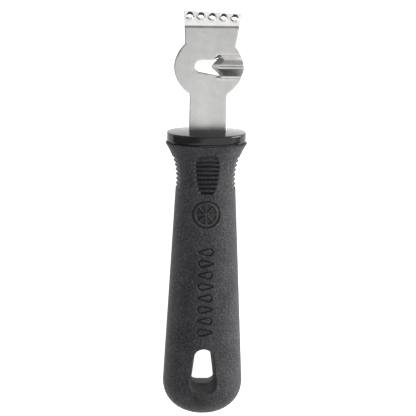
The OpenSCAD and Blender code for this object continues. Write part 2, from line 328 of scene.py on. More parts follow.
class Nodes:
    """A short way to write a material's nodes."""

    def __init__(self, name: str) -> None:
        """Starts an empty material with an output and a Principled shader.

        Args:
            name: Name of the material.
        """
        self.material = bpy.data.materials.new(name)
        self.material.use_nodes = True
        self.tree = self.material.node_tree
        self.tree.nodes.clear()
        self.shader = self.tree.nodes.new("ShaderNodeBsdfPrincipled")
        output = self.tree.nodes.new("ShaderNodeOutputMaterial")
        self.link(self.shader.outputs[0], output.inputs["Surface"])

    def link(self, a: bpy.types.NodeSocket, b: bpy.types.NodeSocket) -> None:
        """Joins an output to an input."""
        self.tree.links.new(a, b)

    def add(self, kind: str, **settings: object) -> bpy.types.Node:
        """Adds a node and sets its properties.

        Args:
            kind: Type of node.
            settings: Its properties by name.

        Returns:
            The node.
        """
        node = self.tree.nodes.new(kind)
        for key, value in settings.items():
            setattr(node, key, value)
        return node

    def coordinates(self, scale: tuple[float, float, float] = (1000.0, 1000.0, 1000.0)
                    ) -> bpy.types.NodeSocket:
        """Gives scaled object coordinates, in which a millimetre is one unit if no scale is given.

        Args:
            scale: Units to a metre along each axis.

        Returns:
            The scaled coordinates.
        """
        place = self.add("ShaderNodeTexCoord")
        mapping = self.add("ShaderNodeMapping")
        mapping.inputs["Scale"].default_value = scale
        self.link(place.outputs["Object"], mapping.inputs["Vector"])
        return mapping.outputs["Vector"]

    def noise(self, where: bpy.types.NodeSocket, scale: float, detail: float = 2.0,
              rough: float = 0.5) -> bpy.types.NodeSocket:
        """Adds a noise texture and gives its value.

        Args:
            where: Coordinates.
            scale: Size of the pattern.
            detail: Number of finer layers.
            rough: Strength of the finer layers.

        Returns:
            The noise, from 0 to 1.
        """
        node = self.add("ShaderNodeTexNoise")
        self.link(where, node.inputs["Vector"])
        node.inputs["Scale"].default_value = scale
        node.inputs["Detail"].default_value = detail
        node.inputs["Roughness"].default_value = rough
        return node.outputs["Fac"]

    def cells(self, where: bpy.types.NodeSocket, scale: float) -> bpy.types.NodeSocket:
        """Adds a cell texture and gives the distance to the nearest cell's centre.

        Args:
            where: Coordinates.
            scale: Cells to a unit.

        Returns:
            The distance, in cells.
        """
        node = self.add("ShaderNodeTexVoronoi")
        self.link(where, node.inputs["Vector"])
        node.inputs["Scale"].default_value = scale
        return node.outputs["Distance"]

    def ranged(self, value: bpy.types.NodeSocket, low: float, high: float, to_low: float,
               to_high: float) -> bpy.types.NodeSocket:
        """Maps a value from one range to another, held at both ends.

        Args:
            value: Value to map.
            low: Lower end of its range.
            high: Upper end of its range.
            to_low: Result at the lower end.
            to_high: Result at the upper end.

        Returns:
            The mapped value.
        """
        node = self.add("ShaderNodeMapRange")
        self.link(value, node.inputs["Value"])
        for name, number in (("From Min", low), ("From Max", high), ("To Min", to_low), ("To Max", to_high)):
            node.inputs[name].default_value = number
        return node.outputs["Result"]

    def maths(self, operation: str, a: bpy.types.NodeSocket, b: bpy.types.NodeSocket | float
              ) -> bpy.types.NodeSocket:
        """Joins a value with a second value or a number.

        Args:
            operation: Name of the operation.
            a: First value.
            b: Second value, or a number.

        Returns:
            The result.
        """
        node = self.add("ShaderNodeMath", operation=operation)
        self.link(a, node.inputs[0])
        if isinstance(b, float):
            node.inputs[1].default_value = b
        else:
            self.link(b, node.inputs[1])
        return node.outputs[0]

    def stored(self, name: str) -> bpy.types.NodeSocket:
        """Gives the value that a piece stores at its vertices under a name."""
        return self.add("ShaderNodeAttribute", attribute_name=name).outputs["Fac"]

    def blend(self, share: bpy.types.NodeSocket, low: tuple | bpy.types.NodeSocket,
              high: tuple | bpy.types.NodeSocket) -> bpy.types.NodeSocket:
        """Blends two colours, each a number triple or another node's output, by a share.

        Args:
            share: Share of the second colour.
            low: First colour.
            high: Second colour.

        Returns:
            The blended colour.
        """
        node = self.add("ShaderNodeMix", data_type="RGBA")
        self.link(share, node.inputs["Factor"])
        for number, colour in ((6, low), (7, high)):
            if isinstance(colour, bpy.types.NodeSocket):
                self.link(colour, node.inputs[number])
            else:
                node.inputs[number].default_value = (*colour, 1.0)
        return node.outputs[2]

    def bump(self, height: bpy.types.NodeSocket, depth: float, strength: float = 1.0,
             under: bpy.types.NodeSocket | None = None) -> bpy.types.NodeSocket:
        """Adds a bump of a depth in millimetres, on top of another where one is given.

        Args:
            height: Height, from 0 to 1.
            depth: Depth in millimetres.
            strength: Strength of the bump.
            under: Another bump's normal, if any.

        Returns:
            The bumped normal.
        """
        node = self.add("ShaderNodeBump")
        node.inputs["Strength"].default_value = strength
        node.inputs["Distance"].default_value = depth * MM
        self.link(height, node.inputs["Height"])
        if under is not None:
            self.link(under, node.inputs["Normal"])
        return node.outputs["Normal"]

    def put(self, **values: object) -> None:
        """Sets the shader's sockets to numbers, colours or other nodes' outputs.

        Args:
            values: Values by socket name, with underscores for spaces.
        """
        for name, value in values.items():
            socket = self.shader.inputs[name.replace("_", " ")]
            if isinstance(value, bpy.types.NodeSocket):
                self.link(value, socket)
            else:
                socket.default_value = (*value, 1.0) if isinstance(value, tuple) else value


@dataclass(frozen=True)
class BrushedSteel:
    """Stainless sheet, fine brushed along the tool, with a few small marks, painted shade on the channel
    knife and painted shade in the zesting holes' bores.
    """

    light: tuple = (0.66, 0.655, 0.64)
    dark: tuple = (0.58, 0.575, 0.565)
    worn: tuple = (0.25, 0.23, 0.21)
    # The next two colours are painted shade: one darkens the channel knife's faces, the other darkens the
    # bores of the zesting holes.
    drawn: tuple = (0.14, 0.14, 0.135)
    bore_shade: tuple = (0.04, 0.038, 0.035)
    roughness: float = 0.3
    bore_roughness: float = 0.6
    brush_per_m: tuple = (14000.0, 700.0, 4000.0)
    mark_per_m: tuple = (420.0, 300.0, 420.0)
    mark_size: float = 0.07
    grain_per_mm: float = 5.5
    brush_depth: float = 0.004
    grain_depth: float = 0.006

    def make(self, name: str) -> bpy.types.Material:
        """Makes the material.

        Args:
            name: Name of the material.

        Returns:
            The material.
        """
        n = Nodes(name)
        brush = n.noise(n.coordinates(self.brush_per_m), 1.0, 4.0, 0.6)
        cloud = n.noise(n.coordinates(), 0.35, 3.0)
        grain = n.noise(n.coordinates(), self.grain_per_mm, 2.0)
        marks = n.ranged(n.cells(n.coordinates(self.mark_per_m), 1.0), 0.0, self.mark_size, 1.0, 0.0)
        tone = n.maths("ADD", n.maths("MULTIPLY", brush, 0.45), n.maths("MULTIPLY", cloud, 0.55))
        colour = n.blend(n.ranged(tone, 0.35, 0.65, 0.0, 1.0), self.dark, self.light)
        colour = n.blend(n.maths("MULTIPLY", marks, 0.5), colour, self.worn)
        # Painted shade: the channel knife's faces are darkened, broken up by the grain, and the hole bores
        # are darkened further.
        grained_channel_shade = n.maths("MULTIPLY", n.stored("drawn"), n.ranged(grain, 0.35, 0.6, 0.7, 1.1))
        bore_shade = n.stored("bore_shade")
        colour = n.blend(bore_shade, n.blend(grained_channel_shade, colour, self.drawn), self.bore_shade)
        rough = n.ranged(brush, 0.3, 0.7, self.roughness - 0.05, self.roughness + 0.07)
        rough = n.maths("ADD", rough, n.maths("MULTIPLY", bore_shade, self.bore_roughness - self.roughness))
        normal = n.bump(grain, self.grain_depth, 0.6, n.bump(brush, self.brush_depth, 0.7))
        n.put(Base_Color=colour, Metallic=1.0, Roughness=rough, Normal=normal, Anisotropic=0.35)
        return n.material


@dataclass(frozen=True)
class GlossPlastic:
    """Polished black plastic with faint handling haze and a little dust."""

    colour: tuple = (0.010, 0.010, 0.013)
    dust: tuple = (0.20, 0.20, 0.21)
    roughness: float = 0.11
    dust_per_mm: float = 0.42
    dust_size: float = 0.06
    wave_depth: float = 0.02

    def make(self, name: str) -> bpy.types.Material:
        """Makes the material.

        Args:
            name: Name of the material.

        Returns:
            The material.
        """
        n = Nodes(name)
        where = n.coordinates()
        haze = n.noise(where, 0.6, 4.0, 0.6)
        wave = n.noise(where, 0.25, 1.0)
        speck = n.ranged(n.cells(where, self.dust_per_mm), self.dust_size - 0.025, self.dust_size, 1.0, 0.0)
        colour = n.blend(speck, self.colour, self.dust)
        rough = n.maths("ADD", n.ranged(haze, 0.3, 0.7, self.roughness - 0.03, self.roughness + 0.05),
                        n.maths("MULTIPLY", speck, 0.4))
        n.put(Base_Color=colour, Roughness=rough, Normal=n.bump(wave, self.wave_depth, 0.4))
        n.put(IOR=1.43)
        return n.material


@dataclass(frozen=True)
class MouldedPlastic:
    """Hard filled plastic as it leaves the mould, with a fine spark texture."""

    light: tuple = (0.055, 0.055, 0.06)
    dark: tuple = (0.035, 0.035, 0.04)
    roughness: float = 0.5
    spark_per_mm: float = 3.2
    spark_depth: float = 0.04

    def make(self, name: str) -> bpy.types.Material:
        """Makes the material.

        Args:
            name: Name of the material.

        Returns:
            The material.
        """
        n = Nodes(name)
        where = n.coordinates()
        flow = n.noise(n.coordinates((600.0, 120.0, 600.0)), 1.0, 3.0)
        spark = n.noise(where, self.spark_per_mm, 3.0, 0.6)
        colour = n.blend(n.ranged(flow, 0.35, 0.65, 0.0, 1.0), self.dark, self.light)
        rough = n.ranged(spark, 0.3, 0.7, self.roughness - 0.08, self.roughness + 0.1)
        n.put(Base_Color=colour, Roughness=rough, Normal=n.bump(spark, self.spark_depth, 0.5), IOR=1.5)
        return n.material


@dataclass(frozen=True)
class SoftGrip:
    """Soft black skin with a pebbled stipple, smooth and dark in its marks, painted shade in its rib grooves,
    and a faint bloom.
    """

    light: tuple = (0.058, 0.058, 0.062)
    dark: tuple = (0.003, 0.003, 0.005)
    mark: tuple = (0.005, 0.005, 0.006)
    roughness: float = 0.62
    mark_roughness: float = 0.24
    stipple_per_mm: float = 1.5
    stipple_depth: float = 0.25

    def make(self, name: str) -> bpy.types.Material:
        """Makes the material.

        Args:
            name: Name of the material.

        Returns:
            The material.
        """
        n = Nodes(name)
        where = n.coordinates()
        pebble = n.cells(where, self.stipple_per_mm)
        grain = n.noise(where, 2.1 * self.stipple_per_mm, 3.0, 0.65)
        bloom = n.noise(where, 0.12, 3.0)
        stipple = n.maths("ADD", n.maths("MULTIPLY", pebble, 0.55), n.maths("MULTIPLY", grain, 0.75))
        # The mark value holds the marks and also the painted shade in the rib grooves; both are made smooth
        # and dark.
        smooth = n.stored("mark")
        rough_part = n.ranged(smooth, 0.0, 1.0, 1.0, 0.12)
        tone = n.maths("ADD", n.maths("MULTIPLY", stipple, 0.7), n.maths("MULTIPLY", bloom, 0.4))
        colour = n.blend(n.ranged(tone, 0.5, 0.85, 0.0, 1.0), self.dark, self.light)
        colour = n.blend(smooth, colour, self.mark)
        rough = n.ranged(smooth, 0.0, 1.0, self.roughness, self.mark_roughness)
        rough = n.maths("ADD", rough, n.ranged(bloom, 0.3, 0.7, -0.04, 0.05))
        height = n.maths("MULTIPLY", stipple, rough_part)
        n.put(Base_Color=colour, Roughness=rough, Normal=n.bump(height, self.stipple_depth, 1.0))
        n.put(IOR=1.42, Sheen_Weight=0.04, Sheen_Roughness=0.5)
        return n.material


# ---- Blade ---------------------------------------------------------------------------------------


@dataclass
class Blade:
    """The stamped sheet: tang, stem, disc with its channel knife, head and bent zesting strip."""

    layout: Layout
    thickness: float = 1.2
    offset: float = 0.4
    stem_w: float = 14.3
    tang_w: float = 11.0
    tang_l: float = 62.0
    key_d: float = 5.0
    key_places: tuple = (12.0, 24.0)
    disc_y: float = 25.7
    disc_r: float = 13.3
    disc_drop: float = 1.5
    head_l: float = 14.2
    head_root_w: float = 17.7
    head_tip_w: float = 20.8
    head_turn: float = 3.5
    strip_l: float = 6.0
    strip_lean: float = 42.0
    bend_r: float = 0.4
    hole_count: int = 5
    hole_pitch: float = 4.26
    hole_d: float = 2.4
    ring_d: float = 3.6
    ring_h: float = 0.78
    ring_wall: float = 0.25
    ring_edge: float = 0.45
    v_h: float = 3.6
    v_hi: float = 3.3
    v_lo: float = 4.5
    v_crest: float = 2.2
    v_shoulder: float = 4.6
    v_nose: float = 3.7
    v_fillet: float = 0.7
    v_draw: float = 1.2
    v_foot: float = 0.3
    slot_r: float = 2.1
    slot_l: float = 5.1
    slot_rise: float = -0.5
    slot_hi: float = 2.4
    slot_lo: float = 4.1
    edge_round: float = 0.13
    ground_t: float = 0.12
    step: float = 0.3
    hole_step: float = 0.16
    turn_step: float = 0.18
    knife_grid: float = 0.22
    plain_grid: float = 0.6
    tang_grid: float = 2.4
    sliver: float = 1e-5
    sharp: float = 50.0
    finish: BrushedSteel = field(default_factory=BrushedSteel)

    @property
    def bend_y(self) -> float:
        """Where the bend under the strip starts."""
        return self.disc_y + self.head_l

    @property
    def bend_mid(self) -> float:
        """Radius of the bend at the middle of the sheet."""
        return self.bend_r + self.thickness / 2

    @property
    def bend_arc(self) -> float:
        """Length of the bend at the middle of the sheet."""
        return self.bend_mid * math.radians(self.strip_lean)

    @property
    def v_peak(self) -> float:
        """Height at which the channel knife's two sides would meet if its crest weren't rounded."""
        return self.v_h + self.v_crest / 4

    @property
    def head_rate(self) -> float:
        """How fast each side of the head widens."""
        return (self.head_tip_w - self.head_root_w) / 2 / self.head_l

    def side_x(self, side: Side, run: float) -> float:
        """Gives the x of a side of the head at a distance beyond the disc's centre.

        Args:
            side: Side of the head.
            run: Distance beyond the disc's centre.

        Returns:
            The x of the side.
        """
        turn = math.radians(self.head_turn)
        slope = math.tan(turn + side.value * math.atan(self.head_rate))
        root = side.value * self.head_root_w / 2
        return self.offset + root * math.cos(turn) + slope * (run + root * math.sin(turn))

    def on_head(self, x: float, y: float) -> tuple[float, float]:
        """Turns a place on the strip with the head and carries it past the bend's length.

        Args:
            x: Distance across the strip.
            y: Distance along it.

        Returns:
            The place on the unrolled sheet.
        """
        turn = math.radians(self.head_turn)
        return (self.offset + x * math.cos(turn) + y * math.sin(turn),
                self.disc_y - x * math.sin(turn) + y * math.cos(turn) + self.bend_arc)

    def disc_point(self, angle: float) -> tuple[float, float]:
        """Gives a point on the disc's lower-struck upper arc.

        Args:
            angle: Angle on the arc, in degrees.

        Returns:
            The point.
        """
        a = math.radians(angle)
        return (self.offset + self.disc_r * math.cos(a),
                self.disc_y - self.disc_drop + self.disc_r * math.sin(a))

    def shoulder_angle(self, side: Side) -> float:
        """Finds where the disc's upper arc meets a side of the head, by halving.

        Args:
            side: Side of the head.

        Returns:
            The angle in degrees.
        """
        low, high = 10.0, 80.0
        for _ in range(40):
            middle = (low + high) / 2
            x, y = self.disc_point(middle if side is Side.RIGHT else 180 - middle)
            outside = side.value * (x - self.side_x(side, y - self.disc_y)) > 0
            low, high = (middle, high) if outside else (low, middle)
        return low if side is Side.RIGHT else 180 - low

    def outline(self) -> np.ndarray:
        """Draws the flat sheet's outline, with the solid on its left.

        Returns:
            The outline's points.
        """
        stem, tang = self.stem_w / 2, self.tang_w / 2
        lip = self.layout.lip_y
        neck = math.degrees(math.acos(stem / self.disc_r))
        meet = math.degrees(math.asin(self.disc_drop / 2 / self.disc_r))
        centre = (self.offset, self.disc_y)
        struck = (self.offset, self.disc_y - self.disc_drop)
        right, left = self.shoulder_angle(Side.RIGHT), self.shoulder_angle(Side.LEFT)
        tip_half = self.head_tip_w / 2 + self.head_rate * self.strip_l
        free = self.head_l + self.strip_l
        bend = self.bend_y + self.bend_arc
        corners = [(self.offset + tang, lip - self.tang_l), (self.offset + tang, lip - stem),
                   (self.offset + stem, lip - stem)]
        corners += arc(centre, self.disc_r, -neck, -meet, self.step)[:-1]
        corners += arc(struck, self.disc_r, meet, right, self.step)
        x = self.side_x(Side.RIGHT, self.head_l)
        corners += [(x, self.bend_y), (x, bend), self.on_head(tip_half, free), self.on_head(-tip_half, free)]
        x = self.side_x(Side.LEFT, self.head_l)
        corners += [(x, bend), (x, self.bend_y)]
        corners += arc(struck, self.disc_r, left, 180 - meet, self.step)[:-1]
        corners += arc(centre, self.disc_r, 180 + meet, 180 + neck, self.step)
        corners += [(self.offset - stem, lip - stem), (self.offset - tang, lip - stem),
                    (self.offset - tang, lip - self.tang_l)]
        return divided(corners, self.step, -1.0, 2.0)

    def nose_cut(self, y: np.ndarray) -> np.ndarray:
        """Gives the x, from the disc's centre, of the channel knife's slanted cut seen from above."""
        share = np.clip(self.roof(y, self.v_crest) / self.v_h, 0, 1)
        return self.v_shoulder - self.v_nose * share

    def nose_edge(self) -> np.ndarray:
        """Draws the slanted cut from the knife's upper side to its lower one, from the disc's centre."""
        y = np.linspace(self.v_hi, -self.v_lo, 61)
        return np.column_stack([self.nose_cut(y), y])

    def slot_loop(self) -> np.ndarray:
        """Draws the slot with its round end and the channel knife's slanted cut, solid on its left.

        Returns:
            The slot's points.
        """
        back = np.array([self.slot_r - self.slot_l, self.slot_rise])
        edge = self.nose_edge()
        run = (edge[:, 0] - back[0]) / (self.v_shoulder - back[0])
        upper = back[1] + self.slot_r + run * (self.slot_hi - back[1] - self.slot_r)
        lower = back[1] - self.slot_r - run * (self.slot_lo + back[1] - self.slot_r)
        edge = edge[(edge[:, 1] < upper) & (edge[:, 1] > lower)]
        turn = np.array(arc(tuple(back), self.slot_r, 90, 270, self.turn_step))
        loop = np.vstack([edge, turn[::-1]]) + [self.offset, self.disc_y]
        return divided([tuple(point) for point in loop[::-1]], self.hole_step)[::-1]

    def hole_centres(self) -> list:
        """Lists the zesting holes' centres on the unrolled sheet.

        Returns:
            One (x, y) to a hole.
        """
        row = self.head_l + self.strip_l - self.ring_d / 2 - self.ring_edge
        first = -(self.hole_count - 1) / 2
        return [self.on_head((first + i) * self.hole_pitch, row) for i in range(self.hole_count)]

    def loops(self) -> list:
        """Lists the outline and every hole, each with the solid on its left.

        Returns:
            The outline first, then the holes.
        """
        result = [self.outline(), self.slot_loop()]
        for centre in self.hole_centres():
            result.append(np.array(arc(centre, self.hole_d / 2, 360, 0, self.hole_step)[:-1]))
        for below in self.key_places:
            key = (self.offset, self.layout.lip_y - below)
            result.append(np.array(arc(key, self.key_d / 2, 360, 0, 0.7)[:-1]))
        return result

    def roof(self, y: np.ndarray, crest: float, wall: float = 0.0) -> np.ndarray:
        """Gives the channel knife's height across it.

        Args:
            y: Distance above the crest line.
            crest: Height over which the crest is rounded.
            wall: Thickness of the wall under it, measured square to each side. 0 gives the outside.

        Returns:
            The heights above the flat sheet.
        """
        sides = []
        for width, way in ((self.v_hi, -1), (self.v_lo, 1)):
            drop = wall * (math.hypot(1, self.v_peak / width) - 1)
            sides.append(self.v_peak * (1 + way * y / width) - drop)
        return soft_max(soft_min(sides[0], sides[1], crest), np.zeros_like(y), self.v_fillet)

    def knife_share(self, x: np.ndarray, y: np.ndarray) -> np.ndarray:
        """Gives 1 on the channel knife and falls smoothly to 0 left of its slanted cut."""
        gap = clearance(np.column_stack([x, y]), self.nose_edge())
        return np.where(x >= self.nose_cut(y), 1.0, 1 - smoothstep(0.0, self.v_draw, gap))

    def heights(self, points: np.ndarray) -> tuple[np.ndarray, np.ndarray]:
        """Gives the heights of the sheet's face and back above its middle.

        Args:
            points: Places on the unrolled sheet.

        Returns:
            The face's heights and the back's heights.
        """
        x, y = points[:, 0] - self.offset, points[:, 1] - self.disc_y
        share = self.knife_share(x, y)
        ridge, valley = y + self.v_lo + self.v_foot, y - self.v_hi - self.v_foot
        sink = 0.8 * self.v_foot * (np.exp(-(valley / 0.4) ** 2) - np.exp(-(ridge / 0.4) ** 2))
        sink = sink * smoothstep(self.v_shoulder - 2.2, self.v_shoulder, x) * (y > -9) * (y < 7)
        face = self.thickness / 2 + share * self.roof(y, self.v_crest) - sink
        back = share * self.roof(y, 0.5, self.thickness) - sink - self.thickness / 2
        edge = self.nose_edge()
        edge = edge[edge[:, 0] < self.v_shoulder - 0.2 * self.v_nose]
        ground = clearance(np.column_stack([x, y]), edge)
        face = soft_min(face, back + self.ground_t + 0.95 * ground, self.ground_t)
        for centre in self.hole_centres():
            away = np.linalg.norm(points - centre, axis=1)
            fall = smoothstep(self.hole_d / 2 + self.ring_wall, self.ring_d / 2, away)
            face = face + self.ring_h * (1 - fall)
        return face, back

    def drawn(self, points: np.ndarray) -> np.ndarray:
        """Gives the painted shade on the channel knife's faces, from 0 to 1, stronger on its upper face than
        on its lower one.

        Args:
            points: Places on the unrolled sheet.

        Returns:
            One value to a place.
        """
        x, y = points[:, 0] - self.offset, points[:, 1] - self.disc_y
        lift = self.knife_share(x, y) * self.roof(y, self.v_crest) / self.v_h
        # Painted shade: a band up the knife's sides, heavier on the upper face.
        shade_band = smoothstep(0.15, 0.5, lift) * (1 - smoothstep(0.82, 0.97, lift))
        return shade_band * np.where(y > 0, 0.85, 0.3)

    def bent(self, points: np.ndarray, height: np.ndarray) -> np.ndarray:
        """Bends unrolled points round the fold under the strip.

        Args:
            points: Places on the unrolled sheet.
            height: Their heights above the sheet's middle.

        Returns:
            The points in the tool's own space.
        """
        lean = math.radians(self.strip_lean)
        angle = np.clip((points[:, 1] - self.bend_y) / self.bend_arc, 0, 1) * lean
        beyond = np.maximum(0, points[:, 1] - self.bend_y - self.bend_arc)
        reach = self.bend_mid + height
        y = np.minimum(points[:, 1], self.bend_y) + reach * np.sin(angle) + beyond * math.cos(lean)
        z = reach * np.cos(angle) - self.bend_mid - beyond * math.sin(lean)
        return np.column_stack([points[:, 0], y, z])

    def inner_points(self, loops: list) -> np.ndarray:
        """Spreads points over the sheet, closer together where it is shaped.

        Args:
            loops: The outline and holes that the points stay inside.

        Returns:
            The points.
        """
        edge = np.vstack(loops)
        centres = np.array(self.hole_centres())
        cx, cy = self.offset, self.disc_y
        bend_top = self.bend_y + self.bend_arc + 0.3
        rings = [centre + radius * np.array([math.cos(a), math.sin(a)])
                 for centre in centres for radius in (1.45, 1.58, 1.7, 1.82, 1.95)
                 for a in np.linspace(0, 2 * math.pi, 44, endpoint=False)]
        band = hex_grid(-12, self.bend_y - 0.35, 14, bend_top, 0.32, 0.12)
        knife = hex_grid(cx, cy - 6.6, cx + 14, cy + 4.8, self.knife_grid)
        plain = hex_grid(-15, 0.5, 15, self.bend_y + 10, self.plain_grid)
        tang = hex_grid(-8, self.layout.lip_y - self.tang_l, 9, 0, self.tang_grid)
        in_knife = (plain[:, 0] > cx) & (abs(plain[:, 1] - cy + 0.9) < 5.8)
        in_band = (plain[:, 1] > self.bend_y - 0.5) & (plain[:, 1] < bend_top)
        plain = plain[~in_knife & ~in_band]
        plain = plain[clearance(plain, centres) > 2.2]
        groups = [(np.array(rings), 0.1), (band, 0.1), (knife, 0.12), (plain, 0.3), (tang, 1.0)]
        kept = []
        for points, gap in groups:
            points = points[inside(points, loops)]
            kept.append(points[clearance(points, edge) > gap])
        return np.vstack(kept)

    def mesh_parts(self) -> tuple[np.ndarray, list, dict[str, np.ndarray]]:
        """Builds the sheet: a face, a back and rounded edges round every outline.

        Returns:
            The points in the tool's own space, the faces, and the painted-shade masks (hole bores, channel
            knife) that the finish reads at each point.
        """
        loops = self.loops()
        normals = [outward(loop) for loop in loops]
        inset = [loop - normal * self.edge_round for loop, normal in zip(loops, normals)]
        flat = np.vstack(inset + [self.inner_points(inset)])
        edges, start = [], 0
        for loop in inset:
            n = len(loop)
            edges += [(start + i, start + (i + 1) % n) for i in range(n)]
            start += n
        verts, _, tris, origins, _, _ = delaunay_2d_cdt([Vector(p) for p in flat], edges, [], 0, 1e-6)
        first = {origin[0]: i for i, origin in enumerate(origins) if origin}
        flat = np.array([tuple(v) for v in verts])
        tris = np.array([t for t in tris if len(t) == 3])
        tris = tris[inside(flat[tris].mean(axis=1), inset)]
        tris = tris[double_area(flat[tris]) > self.sliver]
        face, back = self.heights(flat)
        count = len(flat)
        points = [self.bent(flat, face), self.bent(flat, back)]
        faces = tris.tolist() + (tris[:, ::-1] + count).tolist()
        total, start = 2 * count, 0
        # Masks of painted shade, one value to a point: the hole bores and the channel knife's faces.
        bore_shade, drawn = [np.zeros(2 * count)], [self.drawn(flat), np.zeros(count)]
        for number, (loop, normal) in enumerate(zip(loops, normals)):
            n = len(loop)
            top, low = self.heights(loop)
            drop = np.minimum(self.edge_round, 0.4 * (top - low))
            rows = [np.array([first[start + i] for i in range(n)])]
            for inward, share, base, sign in ((0.3, 0.3, top, -1), (0.0, 1.0, top, -1),
                                              (0.0, 1.0, low, 1), (0.3, 0.3, low, 1)):
                ring = loop - normal * self.edge_round * inward
                points.append(self.bent(ring, base + sign * drop * share))
                bore_shade.append(np.full(n, float(2 <= number < 2 + self.hole_count and inward == 0.0)))
                drawn.append(np.zeros(n))
                rows.append(total + np.arange(n))
                total += n
            rows.append(rows[0] + count)
            for a, b in zip(rows, rows[1:]):
                faces += np.column_stack([a, b, np.roll(b, -1), np.roll(a, -1)]).tolist()
            start += n
        return np.vstack(points), faces, {"bore_shade": np.concatenate(bore_shade), "drawn": np.concatenate(drawn)}

    def build(self) -> bpy.types.Object:
        """Makes the blade, dresses it and puts it in place of the plain one.

        Returns:
            The finished object.
        """
        points, faces, values = self.mesh_parts()
        piece = make_object("blade_sheet", self.layout.place(points), faces, self.sharp)
        for name, value in values.items():
            point_values(piece, name, value)
        piece.data.materials.append(self.finish.make("brushed steel"))
        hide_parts("blade")
        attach(piece, ROOT)
        return piece


# ---- Handle --------------------------------------------------------------------------------------


def oval(width: np.ndarray, depth: np.ndarray, angles: np.ndarray, y: np.ndarray) -> np.ndarray:
    """Draws rings of a softened ellipse.

    Args:
        width: Width of each ring.
        depth: Depth of each ring.
        angles: Angles of the ring's points, in radians.
        y: Where each ring is along the tool.

    Returns:
        An array of rings by points by (x, y, z).
    """
    x, z = (np.sign(turn) * np.abs(turn) ** (2 / OVAL_POWER) for turn in (np.cos(angles), np.sin(angles)))
    along = np.repeat(y[:, None], len(angles), 1)
    return np.stack([np.outer(width / 2, x), along, np.outer(depth / 2, z)], axis=2)


@dataclass
class Collar:
    """The gloss collar between the blade and the grip, with a crowned top and an undercut foot."""

    layout: Layout
    width: float = 30.3
    depth: float = 20.2
    crown_h: float = 0.7
    rim_round: float = 0.5
    foot_inset: float = 0.6
    foot_h: float = 0.5
    slot_w: float = 14.4
    slot_t: float = 1.3
    slot_x: float = 0.4
    neck: tuple = (22.1, 12.1, 2.05)
    columns: int = 192
    sharp: float = 40.0
    finish: GlossPlastic = field(default_factory=GlossPlastic)

    def profile(self) -> list:
        """Lists (y, inset, share) from the crown's middle round the rim and down to the foot.

        Returns:
            The profile's rows.
        """
        lip = self.layout.lip_y
        crown = [(self.crown_h * (1 - t ** 2), self.rim_round, t) for t in np.linspace(0.04, 0.99, 18)]
        turns = np.radians(np.linspace(0, 90, 9))
        rim = [(-self.rim_round * (1 - math.cos(a)), self.rim_round * (1 - math.sin(a)), 1.0) for a in turns]
        foot_top = lip + self.foot_h + self.foot_inset
        side = [(y, 0.0, 1.0) for y in np.linspace(-self.rim_round - 0.3, foot_top, 5)]
        under = [(foot_top - self.foot_inset * math.sin(a), self.foot_inset * (1 - math.cos(a)), 1.0)
                 for a in turns[2::2]]
        return crown + rim + side + under + [(lip, self.foot_inset, 1.0)]

    def solid(self, name: str, rows: list, angles: np.ndarray) -> bpy.types.Object:
        """Lofts rings of (y, width, depth) into a solid.

        Args:
            name: Name of the solid.
            rows: The rings' (y, width, depth).
            angles: Angles of a ring's points.

        Returns:
            The solid.
        """
        y, width, depth = np.array(rows).T
        points = oval(width, depth, angles, y).reshape(-1, 3)
        return make_object(name, self.layout.place(points), loft_faces(len(rows), len(angles)), self.sharp)

    def build(self) -> bpy.types.Object:
        """Makes the collar with its slot for the blade and its socket for the core's neck.

        Returns:
            The finished object.
        """
        angles = np.linspace(0, 2 * math.pi, self.columns, endpoint=False)
        rows = [(y, (self.width - 2 * inset) * share, (self.depth - 2 * inset) * share)
                for y, inset, share in self.profile()]
        piece = self.solid("collar_shell", rows, angles)
        neck_w, neck_d, neck_h = self.neck
        lip = self.layout.lip_y
        socket = [(y, neck_w, neck_d) for y in (lip + neck_h, lip - 1)]
        cut_away(piece, self.solid("neck_socket", socket, angles[::2]), self.sharp)
        cut_away(piece, self.slot_cutter(), self.sharp)
        piece.data.materials.append(self.finish.make("polished collar"))
        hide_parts("collar")
        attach(piece, ROOT)
        return piece

    def slot_cutter(self) -> bpy.types.Object:
        """Makes the bar that cuts the blade's slot.

        Returns:
            The cutter.
        """
        x, z = self.slot_w / 2, self.slot_t / 2
        ring = np.array([(x, -z), (x, z), (-x, z), (-x, -z)]) + [self.slot_x, 0]
        points = [(px, y, pz) for y in (self.layout.lip_y - 1, 3.0) for px, pz in ring]
        faces = [[0, 1, 2, 3], [7, 6, 5, 4]] + [[i, i + 4, (i + 1) % 4 + 4, (i + 1) % 4] for i in range(4)]
        return make_object("slot_cutter", self.layout.place(np.array(points)), faces)


@dataclass
class Core:
    """The hard inner core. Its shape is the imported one, and only its finish is set here."""

    finish: MouldedPlastic = field(default_factory=MouldedPlastic)

    def dress(self) -> bpy.types.Object:
        """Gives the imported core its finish.

        Returns:
            The core.
        """
        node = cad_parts["core"]
        material = self.finish.make("moulded core")
        node.data.materials.clear()
        node.data.materials.append(material)
        return node


